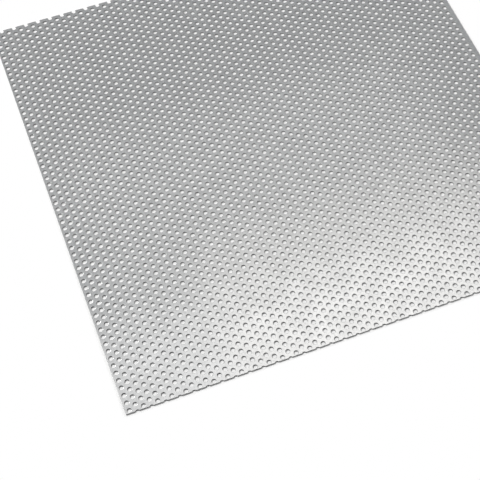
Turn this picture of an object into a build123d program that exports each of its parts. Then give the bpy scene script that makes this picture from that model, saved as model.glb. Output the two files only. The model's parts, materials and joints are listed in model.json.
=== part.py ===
"""Perforated metal sheet: round holes punched in staggered columns, sheared to size from wider stock.

Millimetres, +Z up. The sheet lies flat, with the origin at the middle of its underside.
The columns of holes run along Y. The left and right edges run beside a column, and the front
and back shear cuts run across the columns, through the holes of every second one.
"""

from build123d import *
from build123d.topology import SkipClean
import math
import os

# The blank
SHEET_WIDTH = 310.0  # along X, across the columns
SHEET_LENGTH = 300.0  # along Y, along the columns
SHEET_THICKNESS = 1.0

# The perforation: each hole has six neighbours, all one pitch away
HOLE_DIAMETER = 3.0
HOLE_PITCH = 5.0
STAGGER_ANGLE = 60.0  # between a column and the line to the neighbour in the next column

# Where the pattern lies on the blank
SIDE_MARGIN = 2.4  # left edge to the centres of the first column, and the least left at the right edge
FRONT_CUT_BEHIND_CENTRE = 0.85  # the front cut passes this far behind the centres that it cuts

# Derived sizes
COLUMN_STEP = HOLE_PITCH * math.sin(math.radians(STAGGER_ANGLE))
COLUMN_SHIFT = HOLE_PITCH * math.cos(math.radians(STAGGER_ANGLE))
HOLE_RADIUS = HOLE_DIAMETER / 2
LEFT_EDGE = -SHEET_WIDTH / 2
RIGHT_EDGE = SHEET_WIDTH / 2
FRONT_EDGE = -SHEET_LENGTH / 2
BACK_EDGE = SHEET_LENGTH / 2
FIRST_COLUMN = LEFT_EDGE + SIDE_MARGIN
COLUMN_COUNT = 1 + int((SHEET_WIDTH - 2 * SIDE_MARGIN) / COLUMN_STEP)


def column_centre(column):
    """X of a column's holes; column 0 is beside the left edge."""
    return FIRST_COLUMN + column * COLUMN_STEP


def hole_centres(column):
    """Y of each hole of a column that leaves a mark in the blank, whole or cut by a shear cut."""
    is_cut_column = column % 2 == 1
    first = FRONT_EDGE - FRONT_CUT_BEHIND_CENTRE
    if not is_cut_column:
        first += COLUMN_SHIFT
    count = 1 + math.ceil((BACK_EDGE + HOLE_RADIUS - first) / HOLE_PITCH)
    centres = [first + row * HOLE_PITCH for row in range(count)]
    return [y for y in centres if FRONT_EDGE - HOLE_RADIUS < y < BACK_EDGE + HOLE_RADIUS]


def column_strip(column):
    """One column's share of the sheet, from halfway to the column before to halfway to the next.

    The first and the last strip reach out to the edge of the blank.
    """
    centre = column_centre(column)
    left = LEFT_EDGE if column == 0 else centre - COLUMN_STEP / 2
    right = RIGHT_EDGE if column == COLUMN_COUNT - 1 else centre + COLUMN_STEP / 2
    metal = Pos((left + right) / 2, 0) * Rectangle(right - left, SHEET_LENGTH)
    punches = [Pos(centre, y) * Circle(HOLE_RADIUS) for y in hole_centres(column)]
    return extrude(metal - punches, SHEET_THICKNESS)


def perforated_sheet():
    """The whole sheet as one solid.

    The strips' seams stay as edges on the two flat faces, so that no single face carries
    thousands of holes.
    """
    first, *others = [column_strip(column).solid() for column in range(COLUMN_COUNT)]
    with SkipClean():
        return first.fuse(*others)


sheet = perforated_sheet()
whole_holes = sum(
    FRONT_EDGE + HOLE_RADIUS <= y <= BACK_EDGE - HOLE_RADIUS
    for column in range(COLUMN_COUNT)
    for y in hole_centres(column)
)
print("columns", COLUMN_COUNT, "whole holes", whole_holes, "solids", len(sheet.solids()))

os.makedirs("parts", exist_ok=True)
export_step(sheet, "parts/perforated_sheet.step")
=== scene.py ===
"""A perforated metal sheet flat on a white floor: camera, floor, lamps and room, then the sheet."""

import json
import math

import bpy
from mathutils import Matrix, Vector


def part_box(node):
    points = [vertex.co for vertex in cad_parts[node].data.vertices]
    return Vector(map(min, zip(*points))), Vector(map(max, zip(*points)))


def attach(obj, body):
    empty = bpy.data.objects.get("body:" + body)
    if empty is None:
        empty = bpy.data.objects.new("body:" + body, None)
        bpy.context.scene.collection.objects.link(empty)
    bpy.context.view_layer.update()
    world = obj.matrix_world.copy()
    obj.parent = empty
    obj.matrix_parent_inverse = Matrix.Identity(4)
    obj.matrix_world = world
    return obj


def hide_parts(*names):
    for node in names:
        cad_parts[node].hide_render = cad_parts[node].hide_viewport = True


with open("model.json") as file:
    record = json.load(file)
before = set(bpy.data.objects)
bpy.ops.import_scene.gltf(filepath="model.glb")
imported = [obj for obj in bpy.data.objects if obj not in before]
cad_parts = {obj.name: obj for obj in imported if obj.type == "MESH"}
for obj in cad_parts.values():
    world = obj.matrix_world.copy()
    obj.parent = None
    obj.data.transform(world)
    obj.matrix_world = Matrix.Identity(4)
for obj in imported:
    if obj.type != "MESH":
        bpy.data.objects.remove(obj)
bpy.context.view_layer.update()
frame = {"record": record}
SHEET_LOW, SHEET_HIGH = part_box("perforated_sheet")
SHEET_SIZE = SHEET_HIGH - SHEET_LOW


# ---- Camera ----
# Looks down on the sheet's front left corner from the front left, a little tilted, as if held by hand.
# It is aimed at a point of the top face, which is given from that corner.

AIM_FROM_CORNER = Vector((0.1025, 0.0852, 0.0))
CAMERA_DISTANCE = 0.7286
CAMERA_ELEVATION = math.radians(60.13)
CAMERA_HEADING = math.radians(21.81)  # from +Y towards +X
CAMERA_ROLL = math.radians(1.14)
LENS_MM = 87.43
SENSOR_WIDTH_MM = 36.0
NEAREST_SEEN = 0.01

camera_data = bpy.data.cameras.new("camera")
camera_data.sensor_width = SENSOR_WIDTH_MM
camera_data.lens = LENS_MM
camera_data.clip_start = NEAREST_SEEN
camera = bpy.data.objects.new("camera", camera_data)
bpy.context.scene.collection.objects.link(camera)

aim = Vector((SHEET_LOW.x, SHEET_LOW.y, SHEET_HIGH.z)) + AIM_FROM_CORNER
level_look = Vector((math.sin(CAMERA_HEADING), math.cos(CAMERA_HEADING), 0.0))
look = level_look * math.cos(CAMERA_ELEVATION) - Vector((0, 0, 1)) * math.sin(CAMERA_ELEVATION)
rolled = look.to_track_quat("-Z", "Y").to_matrix() @ Matrix.Rotation(CAMERA_ROLL, 3, "Z")
camera.matrix_world = Matrix.Translation(aim - look * CAMERA_DISTANCE) @ rolled.to_4x4()
bpy.context.scene.camera = camera


# ---- Floor ----
# A seamless floor of matt white paint, which takes the light and the sheet's shadow. To the camera, and
# in reflections, it turns plain white about 2 mm outside the sheet's edges.

FLOOR_SIZE = 6.0
PAINT_WHITE = 0.92
PLAIN_WHITE = (1, 1, 1, 1)
SHADOWED_MARGIN = 0.0007  # up to here from the sheet's outline the floor is all paint
WHITE_MARGIN = 0.0022  # and from here on it is all plain white

half = FLOOR_SIZE / 2
floor_corners = [(-half, -half, 0), (half, -half, 0), (half, half, 0), (-half, half, 0)]
floor_mesh = bpy.data.meshes.new("floor")
floor_mesh.from_pydata(floor_corners, [], [(0, 1, 2, 3)])
floor = bpy.data.objects.new("floor", floor_mesh)
bpy.context.scene.collection.objects.link(floor)

floor_paint = bpy.data.materials.new("white_floor")
floor_paint.use_nodes = True
floor_mesh.materials.append(floor_paint)

# The node tree in hand. The room, the press and the metal each put theirs in its place.
tree = floor_paint.node_tree


def feed(fed, links):
    """Give a node's inputs their values, each a plain one or another node's output."""
    for socket, source in links.items():
        if hasattr(source, "links"):
            tree.links.new(source, fed.inputs[socket])
        else:
            fed.inputs[socket].default_value = source


def node(kind, links=None, **settings):
    """A new node of the tree in hand, with its properties set and its inputs fed."""
    made = tree.nodes.new(kind)
    for key, value in settings.items():
        setattr(made, key, value)
    feed(made, links or {})
    return made


def maths(operation, a, b=0.0, c=0.0):
    return node("ShaderNodeMath", {0: a, 1: b, 2: c}, operation=operation).outputs[0]


def vector_maths(operation, a, b=(0, 0, 0), c=(0, 0, 0)):
    return node("ShaderNodeVectorMath", {0: a, 1: b, 2: c}, operation=operation).outputs[0]


def length_of(vector):
    return node("ShaderNodeVectorMath", {0: vector}, operation="LENGTH").outputs["Value"]


def spread(value, low, high, to_low, to_high, kind="LINEAR"):
    """The value stretched from one range to another, and held at the ends."""
    ranges = {"Value": value, "From Min": low, "From Max": high, "To Min": to_low, "To Max": to_high}
    return node("ShaderNodeMapRange", ranges, interpolation_type=kind).outputs[0]


floor_place = node("ShaderNodeTexCoord").outputs["Object"]
from_middle = vector_maths("SUBTRACT", floor_place, (SHEET_LOW + SHEET_HIGH) / 2)
past_edges = vector_maths("SUBTRACT", vector_maths("ABSOLUTE", from_middle), SHEET_SIZE / 2)
clearance = length_of(vector_maths("MAXIMUM", past_edges, (0, 0, 0)))
is_clear = spread(clearance, SHADOWED_MARGIN, WHITE_MARGIN, 0.0, 1.0, "SMOOTHSTEP")
ray = node("ShaderNodeLightPath").outputs
is_seen = maths("MAXIMUM", ray["Is Camera Ray"], ray["Is Glossy Ray"])
matt_paint = tree.nodes["Principled BSDF"]
feed(matt_paint, {
    "Base Color": (PAINT_WHITE, PAINT_WHITE, PAINT_WHITE, 1),
    "Roughness": 1.0,
    "Specular IOR Level": 0.0,
})
paint_or_white = node("ShaderNodeMixShader", {
    0: maths("MULTIPLY", is_seen, is_clear),
    1: matt_paint.outputs[0],
    2: node("ShaderNodeEmission", {"Color": PLAIN_WHITE, "Strength": 1.0}).outputs[0],
})
feed(tree.nodes["Material Output"], {"Surface": paint_or_white.outputs[0]})


# ---- Lamps ----
# A bank of three soft boxes overhead, brightest in the middle, whose reflection makes the metal shine,
# and a small lamp far off behind to the left, so that each hole holds a crisp crescent of shadow.

WARM_WHITE = (1.0, 0.985, 0.965)
WARMER_WHITE = (1.0, 0.95, 0.88)
MAIN_LAMP_COLOUR = (1.0, 0.995, 0.985)
MAIN_LAMP_STRENGTH = 385.0
MAIN_LAMP_DISTANCE = 2.0
MAIN_LAMP_SIZE = 0.14
MAIN_LAMP_ELEVATION = math.radians(54.5)
MAIN_LAMP_HEADING = math.radians(-40)  # from +Y towards +X


def soft_box(name, place, size, strength, colour):
    """A rectangular lamp of the given width and depth. The strength is how white its face looks."""
    lamp = bpy.data.lights.new(name, "AREA")
    lamp.shape = "RECTANGLE"
    lamp.size, lamp.size_y = size
    lamp.energy = 4 * size[0] * size[1] * strength
    lamp.color = colour
    holder = bpy.data.objects.new(name, lamp)
    bpy.context.scene.collection.objects.link(holder)
    holder.location = place
    return holder


# Each box of the bank hangs level and shines straight down. They hang at different heights, because
# of lamps at one height a mirror would show only one.
for name, left, right, front, back, height, strength, colour in (
    ("bank_middle", -0.135, 0.655, -0.6, 0.48, 1.20, 0.28, WARM_WHITE),
    ("bank_right", 0.105, 0.755, -0.6, 0.60, 1.22, 0.16, WARMER_WHITE),
    ("bank_glow", -0.05, 0.68, -0.6, 0.90, 1.24, 0.11, WARM_WHITE),
):
    middle = ((left + right) / 2, (front + back) / 2, height)
    soft_box(name, middle, (right - left, back - front), strength, colour)

lamp_way = Vector((
    math.sin(MAIN_LAMP_HEADING) * math.cos(MAIN_LAMP_ELEVATION),
    math.cos(MAIN_LAMP_HEADING) * math.cos(MAIN_LAMP_ELEVATION),
    math.sin(MAIN_LAMP_ELEVATION),
))
main_lamp = soft_box(
    "main_lamp",
    lamp_way * MAIN_LAMP_DISTANCE,
    (MAIN_LAMP_SIZE, MAIN_LAMP_SIZE),
    MAIN_LAMP_STRENGTH,
    MAIN_LAMP_COLOUR,
)
main_lamp.rotation_euler = (-lamp_way).to_track_quat("-Z", "Y").to_euler()


# ---- Room ----
# Light grey walls behind the sheet and darker ones in front of it, with a glow low down all round. The
# camera itself sees plain white in their place.

WALL_COLOUR = (0.975, 0.99, 1.0, 1)
FRONT_BRIGHTNESS = 0.22
BACK_BRIGHTNESS = 0.37
GLOW_BRIGHTNESS = 0.3
FRONT_ENDS, BACK_STARTS = -0.6, 0.4  # the Y of a view's direction, between which the walls turn lighter
GLOW_FADES, GLOW_ENDS = 0.15, 0.6  # and its Z, between which the glow goes

world = bpy.data.worlds.new("studio")
world.use_nodes = True
tree = world.node_tree
way = node("ShaderNodeSeparateXYZ", {0: node("ShaderNodeTexCoord").outputs["Generated"]}).outputs
shade = spread(way["Y"], FRONT_ENDS, BACK_STARTS, FRONT_BRIGHTNESS, BACK_BRIGHTNESS)
low_glow = spread(way["Z"], GLOW_FADES, GLOW_ENDS, GLOW_BRIGHTNESS, 0.0)
walls = tree.nodes["Background"]
feed(walls, {"Color": WALL_COLOUR, "Strength": maths("ADD", shade, low_glow)})
walls_or_white = node("ShaderNodeMixShader", {
    0: node("ShaderNodeLightPath").outputs["Is Camera Ray"],
    1: walls.outputs[0],
    2: node("ShaderNodeBackground", {"Color": PLAIN_WHITE}).outputs[0],
})
feed(tree.nodes["World Output"], {"Surface": walls_or_white.outputs[0]})
bpy.context.scene.world = world
bpy.context.scene.view_settings.view_transform = "Standard"


# ---- Perforated sheet ----
# One piece of 1 mm aluminium sheet in its mill finish. Round holes are punched through it in
# staggered columns, and it is then sheared to size, here through every second column's holes.

HOLE_DIAMETER = 2 * frame["record"]["mounts"][0]["dims"]["hole_r_mm"] / 1000
HOLE_PITCH = 0.005
STAGGER_ANGLE = math.radians(60)
SIDE_MARGIN = 0.0024  # left edge to the centres of the first column
FRONT_CUT_BEHIND_CENTRE = 0.00085  # the front cut passes this far behind the centres that it cuts
COLUMN_STEP = HOLE_PITCH * math.sin(STAGGER_ANGLE)
COLUMNS = 1 + int((SHEET_SIZE.x - 2 * SIDE_MARGIN) / COLUMN_STEP)
ROWS = 2 + int(SHEET_SIZE.y / HOLE_PITCH)
FIRST_COLUMN = SHEET_LOW.x + SIDE_MARGIN
FIRST_ROW = SHEET_LOW.y - FRONT_CUT_BEHIND_CENTRE
BAND_COLUMNS = 9  # the flat is filled in bands of this many columns, because one fill of all is slow
WELD_DISTANCE = 1e-6
SHARP_ANGLE = math.radians(45)

# The punch has a few flats in place of a round, and takes out the same area
HOLE_SIDES = 10
SIDE_ANGLE = 2 * math.pi / HOLE_SIDES
PUNCH_RADIUS = HOLE_DIAMETER / 2 * math.sqrt(SIDE_ANGLE / math.sin(SIDE_ANGLE))

aluminium = bpy.data.materials.new("mill_finish_aluminium")
punching = bpy.data.node_groups.new("punch_and_shear", "GeometryNodeTree")
punching.interface.new_socket("Geometry", in_out="OUTPUT", socket_type="NodeSocketGeometry")
press_settings = {}
for name, kind, value in (
    ("Width", "NodeSocketFloat", SHEET_SIZE.x),
    ("Length", "NodeSocketFloat", SHEET_SIZE.y),
    ("Thickness", "NodeSocketFloat", SHEET_SIZE.z),
    ("Punch Radius", "NodeSocketFloat", PUNCH_RADIUS),
    ("Hole Sides", "NodeSocketInt", HOLE_SIDES),
    ("Pitch", "NodeSocketFloat", HOLE_PITCH),
    ("Column Step", "NodeSocketFloat", COLUMN_STEP),
    ("Columns", "NodeSocketInt", COLUMNS),
    ("Rows", "NodeSocketInt", ROWS),
    ("Bands", "NodeSocketInt", math.ceil(COLUMNS / BAND_COLUMNS)),
    ("Band Width", "NodeSocketFloat", BAND_COLUMNS * COLUMN_STEP),
    ("First Column", "NodeSocketFloat", FIRST_COLUMN),
    ("First Row", "NodeSocketFloat", FIRST_ROW),
    ("Material", "NodeSocketMaterial", aluminium),
):
    socket = punching.interface.new_socket(name, in_out="INPUT", socket_type=kind)
    press_settings[socket.identifier] = value


def either(choice, if_true, if_false):
    options = {"Switch": choice, "True": if_true, "False": if_false}
    return node("GeometryNodeSwitch", options, input_type="FLOAT").outputs[0]


def joined(*parts):
    join = node("GeometryNodeJoinGeometry")
    for part in parts:
        feed(join, {0: part})
    return join.outputs[0]


def vector_of(**along):
    """A vector with the given X, Y and Z, and 0 for what isn't given."""
    return node("ShaderNodeCombineXYZ", along).outputs[0]


# The punch comes down once at each hole's centre. The column beside the left edge, and every second
# one after it, starts half a pitch further back than the others, whose first holes the front cut
# goes through.
tree = punching
given = node("NodeGroupInput").outputs
index = node("GeometryNodeInputIndex").outputs[0]
column = maths("FLOOR", maths("DIVIDE", index, given["Rows"]))
row = maths("FLOORED_MODULO", index, given["Rows"])
is_whole_column = maths("SUBTRACT", 1.0, maths("FLOORED_MODULO", column, 2.0))
half_pitches = maths("MULTIPLY_ADD", is_whole_column, 0.5, row)
centres = node("GeometryNodePoints", {
    "Count": maths("MULTIPLY", given["Columns"], given["Rows"]),
    "Position": vector_of(
        X=maths("MULTIPLY_ADD", column, given["Column Step"], given["First Column"]),
        Y=maths("MULTIPLY_ADD", half_pitches, given["Pitch"], given["First Row"]),
    ),
})
punch = node("GeometryNodeCurvePrimitiveCircle", {
    "Resolution": given["Hole Sides"],
    "Radius": given["Punch Radius"],
})
punched = node("GeometryNodeInstanceOnPoints", {
    "Points": centres.outputs[0],
    "Instance": punch.outputs["Curve"],
})

# The blank's outline, one rectangle for each band. The seams pass midway between two columns,
# and the first and last bands reach out to the sheet's left and right edges.
band = node("GeometryNodeInputIndex").outputs[0]
half_width = maths("MULTIPLY", given["Width"], 0.5)
first_seam = maths("MULTIPLY_ADD", given["Column Step"], -0.5, given["First Column"])
seam = maths("MULTIPLY_ADD", band, given["Band Width"], first_seam)
next_seam = maths("ADD", seam, given["Band Width"])
is_first = maths("COMPARE", band, 0.0, 0.5)
is_last = maths("COMPARE", band, maths("SUBTRACT", given["Bands"], 1.0), 0.5)
band_left = either(is_first, maths("MULTIPLY", half_width, -1.0), seam)
band_right = either(is_last, half_width, next_seam)
bands = node("GeometryNodePoints", {
    "Count": given["Bands"],
    "Position": vector_of(X=maths("MULTIPLY", maths("ADD", band_left, band_right), 0.5)),
})
square = node("GeometryNodeCurvePrimitiveQuadrilateral", {"Width": 1.0, "Height": 1.0})
outline = node("GeometryNodeInstanceOnPoints", {
    "Points": bands.outputs[0],
    "Instance": square.outputs[0],
    "Scale": vector_of(X=maths("SUBTRACT", band_right, band_left), Y=given["Length"], Z=1.0),
})

# The flat is filled between the outlines. The shears then cut it: what lies in front of the front cut
# or behind the back one falls away.
place = node("ShaderNodeSeparateXYZ", {0: node("GeometryNodeInputPosition").outputs[0]}).outputs
from_first_seam = maths("SUBTRACT", place["X"], first_seam)
drawn = node("GeometryNodeRealizeInstances", {0: joined(punched.outputs[0], outline.outputs[0])})
filled = node("GeometryNodeFillCurve", {
    "Curve": drawn.outputs[0],
    "Group ID": maths("FLOOR", maths("DIVIDE", from_first_seam, given["Band Width"])),
}, mode="TRIANGLES")
half_length = maths("MULTIPLY", given["Length"], 0.5)
trimmed = node("GeometryNodeDeleteGeometry", {
    "Geometry": filled.outputs[0],
    "Selection": maths("GREATER_THAN", maths("ABSOLUTE", place["Y"]), half_length),
}, domain="FACE")
underside = node("GeometryNodeMergeByDistance", {
    "Geometry": trimmed.outputs[0],
    "Distance": WELD_DISTANCE,
})

# The flat is raised to the sheet's thickness, and closed below by itself turned over
raised = node("GeometryNodeExtrudeMesh", {
    "Mesh": underside.outputs[0],
    "Offset": vector_of(Z=1.0),
    "Offset Scale": given["Thickness"],
    "Individual": False,
}, mode="FACES")
turned = node("GeometryNodeFlipFaces", {"Mesh": underside.outputs[0]})
closed = node("GeometryNodeMergeByDistance", {
    "Geometry": joined(raised.outputs["Mesh"], turned.outputs[0]),
    "Distance": WELD_DISTANCE,
})
bend = node("GeometryNodeInputMeshEdgeAngle").outputs["Unsigned Angle"]
is_corner = node("FunctionNodeCompare", {0: bend, 1: SHARP_ANGLE}, operation="GREATER_THAN")
shaded = node("GeometryNodeSetShadeSmooth", {
    "Geometry": closed.outputs[0],
    "Selection": is_corner.outputs[0],
    "Shade Smooth": False,
}, domain="EDGE")
realized = node("GeometryNodeRealizeInstances", {0: shaded.outputs[0]})
finished = node("GeometryNodeSetMaterial", {
    "Geometry": realized.outputs[0],
    "Material": given["Material"],
})
feed(node("NodeGroupOutput"), {0: finished.outputs[0]})

# The metal: soft grey rolled aluminium, a little mottled, with faint rolling lines along the columns.
# The punch rolls the top rims over and leaves the walls burnished above and torn and rough below. The
# walls carry painted shade: a dark grey, lighter where burnished above and darkest where torn below.
BRIGHT_METAL = (0.97, 0.975, 0.98, 1)
DULL_METAL = (0.71, 0.715, 0.72, 1)
# The two wall greys are painted shade for the holes' dark insides, far darker than the metal
BURNISHED_WALL_AND_PAINTED_SHADE = (0.42, 0.425, 0.43, 1)
TORN_WALL_AND_PAINTED_SHADE = (0.22, 0.22, 0.222, 1)
BURNISHED_ROUGHNESS = 0.32
TORN_ROUGHNESS = 0.6
WALL_FACING = 0.5  # a face that looks up or down by less than this is a wall

aluminium.use_nodes = True
tree = aluminium.node_tree
coordinates = node("ShaderNodeTexCoord").outputs["Object"]
surface = node("ShaderNodeNewGeometry").outputs
facing = node("ShaderNodeSeparateXYZ", {0: surface["True Normal"]}).outputs["Z"]
is_wall = maths("LESS_THAN", maths("ABSOLUTE", facing), WALL_FACING)


def noise(per_metre, detail, roughness=0.5):
    """Noise with the given number of features to the metre along X, Y and Z."""
    scaled = vector_maths("MULTIPLY", coordinates, per_metre)
    settings = {"Vector": scaled, "Scale": 1.0, "Detail": detail, "Roughness": roughness}
    return node("ShaderNodeTexNoise", settings).outputs["Fac"]


def blend(kind, factor, a, b):
    """a where the factor is 0 and b where it is 1, for the kind of value that they are."""
    pair = ("FLOAT", "VECTOR", "RGBA").index(kind)
    links = {0: factor, 2 + 2 * pair: a, 3 + 2 * pair: b}
    return node("ShaderNodeMix", links, data_type=kind).outputs[pair]


def from_nearest_hole(column_x, row_y):
    """The flat vector from the nearest hole among every second column, one hole of which is given."""
    moved = vector_maths("SUBTRACT", coordinates, (column_x, row_y, 0))
    reach = Vector((COLUMN_STEP, HOLE_PITCH / 2, 0))
    return vector_maths("WRAP", moved, reach, -reach)


# Rims rolled over on top, where the punch enters, and a slight burr around them underneath
ROLLED_RIM = 0.00025  # how far out from a hole's edge its rim is rolled over
RIM_SLOPE = 0.15  # at the edge itself
hole_radius = HOLE_DIAMETER / 2
from_whole = from_nearest_hole(FIRST_COLUMN, FIRST_ROW + HOLE_PITCH / 2)
from_cut = from_nearest_hole(FIRST_COLUMN + COLUMN_STEP, FIRST_ROW)
to_whole = length_of(from_whole)
to_cut = length_of(from_cut)
outward = blend("VECTOR", maths("LESS_THAN", to_cut, to_whole), from_whole, from_cut)
hole_distance = maths("MINIMUM", to_whole, to_cut)
rim = spread(hole_distance, hole_radius, hole_radius + ROLLED_RIM, RIM_SLOPE, 0.0, "SMOOTHSTEP")
leaning = node("ShaderNodeVectorMath", {
    0: vector_maths("NORMALIZE", outward),
    "Scale": maths("MULTIPLY", rim, facing),
}, operation="SCALE").outputs[0]
rolled_normal = vector_maths("NORMALIZE", vector_maths("SUBTRACT", surface["Normal"], leaning))

# The flats: mottling and speckle in their colour, mottling and grain in their roughness
MOTTLING_SHARE = 0.35
SPECKLE_SHARE = 0.65
BRIGHT_AT, DULL_AT = 0.35, 0.65  # the mix of the two noises that gives the full colours
NOISE_LOW, NOISE_HIGH = 0.3, 0.7  # most of a noise lies between these
SMOOTHEST, ROUGHEST = 0.135, 0.165
GRAIN_SMOOTHS, GRAIN_ROUGHENS = -0.01, 0.015
mottling = noise((90, 60, 0), detail=3.0, roughness=0.6)
speckle = noise((900, 750, 0), detail=3.0, roughness=0.7)
grain = noise((1500, 1200, 0), detail=2.0, roughness=0.6)
speckled = maths("MULTIPLY", speckle, SPECKLE_SHARE)
mixed = maths("MULTIPLY_ADD", mottling, MOTTLING_SHARE, speckled)
dullness = spread(mixed, BRIGHT_AT, DULL_AT, 0.0, 1.0)
flat_colour = blend("RGBA", dullness, BRIGHT_METAL, DULL_METAL)
mottled_roughness = spread(mottling, NOISE_LOW, NOISE_HIGH, SMOOTHEST, ROUGHEST)
grain_roughness = spread(grain, NOISE_LOW, NOISE_HIGH, GRAIN_SMOOTHS, GRAIN_ROUGHENS)
flat_roughness = maths("ADD", mottled_roughness, grain_roughness)

# The punched and sheared walls, with upright streaks: torn below a ragged line that runs a little
# above halfway up, and burnished above it, both coloured a dark grey of painted shade
RAGGEDNESS = 0.0003
TORN_UP_TO = 0.00065
BURNISHED_FROM = 0.0008
height = node("ShaderNodeSeparateXYZ", {0: coordinates}).outputs["Z"]
streaks = noise((5000, 5000, 400), detail=2.0, roughness=0.6)
ragged_height = maths("MULTIPLY_ADD", streaks, RAGGEDNESS, height)
burnish = spread(ragged_height, TORN_UP_TO, BURNISHED_FROM, 0.0, 1.0, "SMOOTHSTEP")
# The walls' colour is painted shade, darker where torn than where burnished
wall_colour_and_painted_shade = blend("RGBA", burnish, TORN_WALL_AND_PAINTED_SHADE, BURNISHED_WALL_AND_PAINTED_SHADE)
wall_roughness = spread(burnish, 0.0, 1.0, TORN_ROUGHNESS, BURNISHED_ROUGHNESS)

# The relief: grain, slow waves and rolling lines all over, and the streaks too on the walls
GRAIN_RELIEF = 0.000004
WAVES_TO_GRAIN = 12.0  # the others' relief, as a multiple of the grain's
LINES_TO_GRAIN = 0.4
STREAKS_TO_GRAIN = 8.0
waves = maths("MULTIPLY", noise((14, 11, 0), detail=1.0), WAVES_TO_GRAIN)
lines = maths("MULTIPLY", noise((3500, 25, 0), detail=2.0, roughness=0.6), LINES_TO_GRAIN)
rolled_relief = maths("ADD", maths("ADD", waves, grain), lines)
streak_relief = maths("MULTIPLY", streaks, STREAKS_TO_GRAIN)
bump = node("ShaderNodeBump", {
    "Height": maths("MULTIPLY_ADD", is_wall, streak_relief, rolled_relief),
    "Distance": GRAIN_RELIEF,
    "Normal": rolled_normal,
    "Strength": 1.0,
})
feed(tree.nodes["Principled BSDF"], {
    "Base Color": blend("RGBA", is_wall, flat_colour, wall_colour_and_painted_shade),
    "Roughness": blend("FLOAT", is_wall, flat_roughness, wall_roughness),
    "Normal": bump.outputs[0],
    "Metallic": 1.0,
})

# The press works once, and what comes out of it is kept as a plain mesh
blank = bpy.data.objects.new("punching_blank", bpy.data.meshes.new("punching_blank"))
bpy.context.scene.collection.objects.link(blank)
press = blank.modifiers.new("press", "NODES")
press.node_group = punching
for identifier, value in press_settings.items():
    press[identifier] = value
bpy.context.view_layer.update()
evaluated = blank.evaluated_get(bpy.context.evaluated_depsgraph_get())
sheet_mesh = bpy.data.meshes.new_from_object(evaluated)
bpy.data.objects.remove(blank)
sheet_mesh.name = "sheet"
sheet_mesh.materials.clear()
sheet_mesh.materials.append(aluminium)
sheet = bpy.data.objects.new("sheet", sheet_mesh)
bpy.context.scene.collection.objects.link(sheet)
sheet_mesh.calc_loop_triangles()
print("sheet triangles", len(sheet_mesh.loop_triangles), "vertices", len(sheet_mesh.vertices))

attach(sheet, "root")
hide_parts("perforated_sheet")
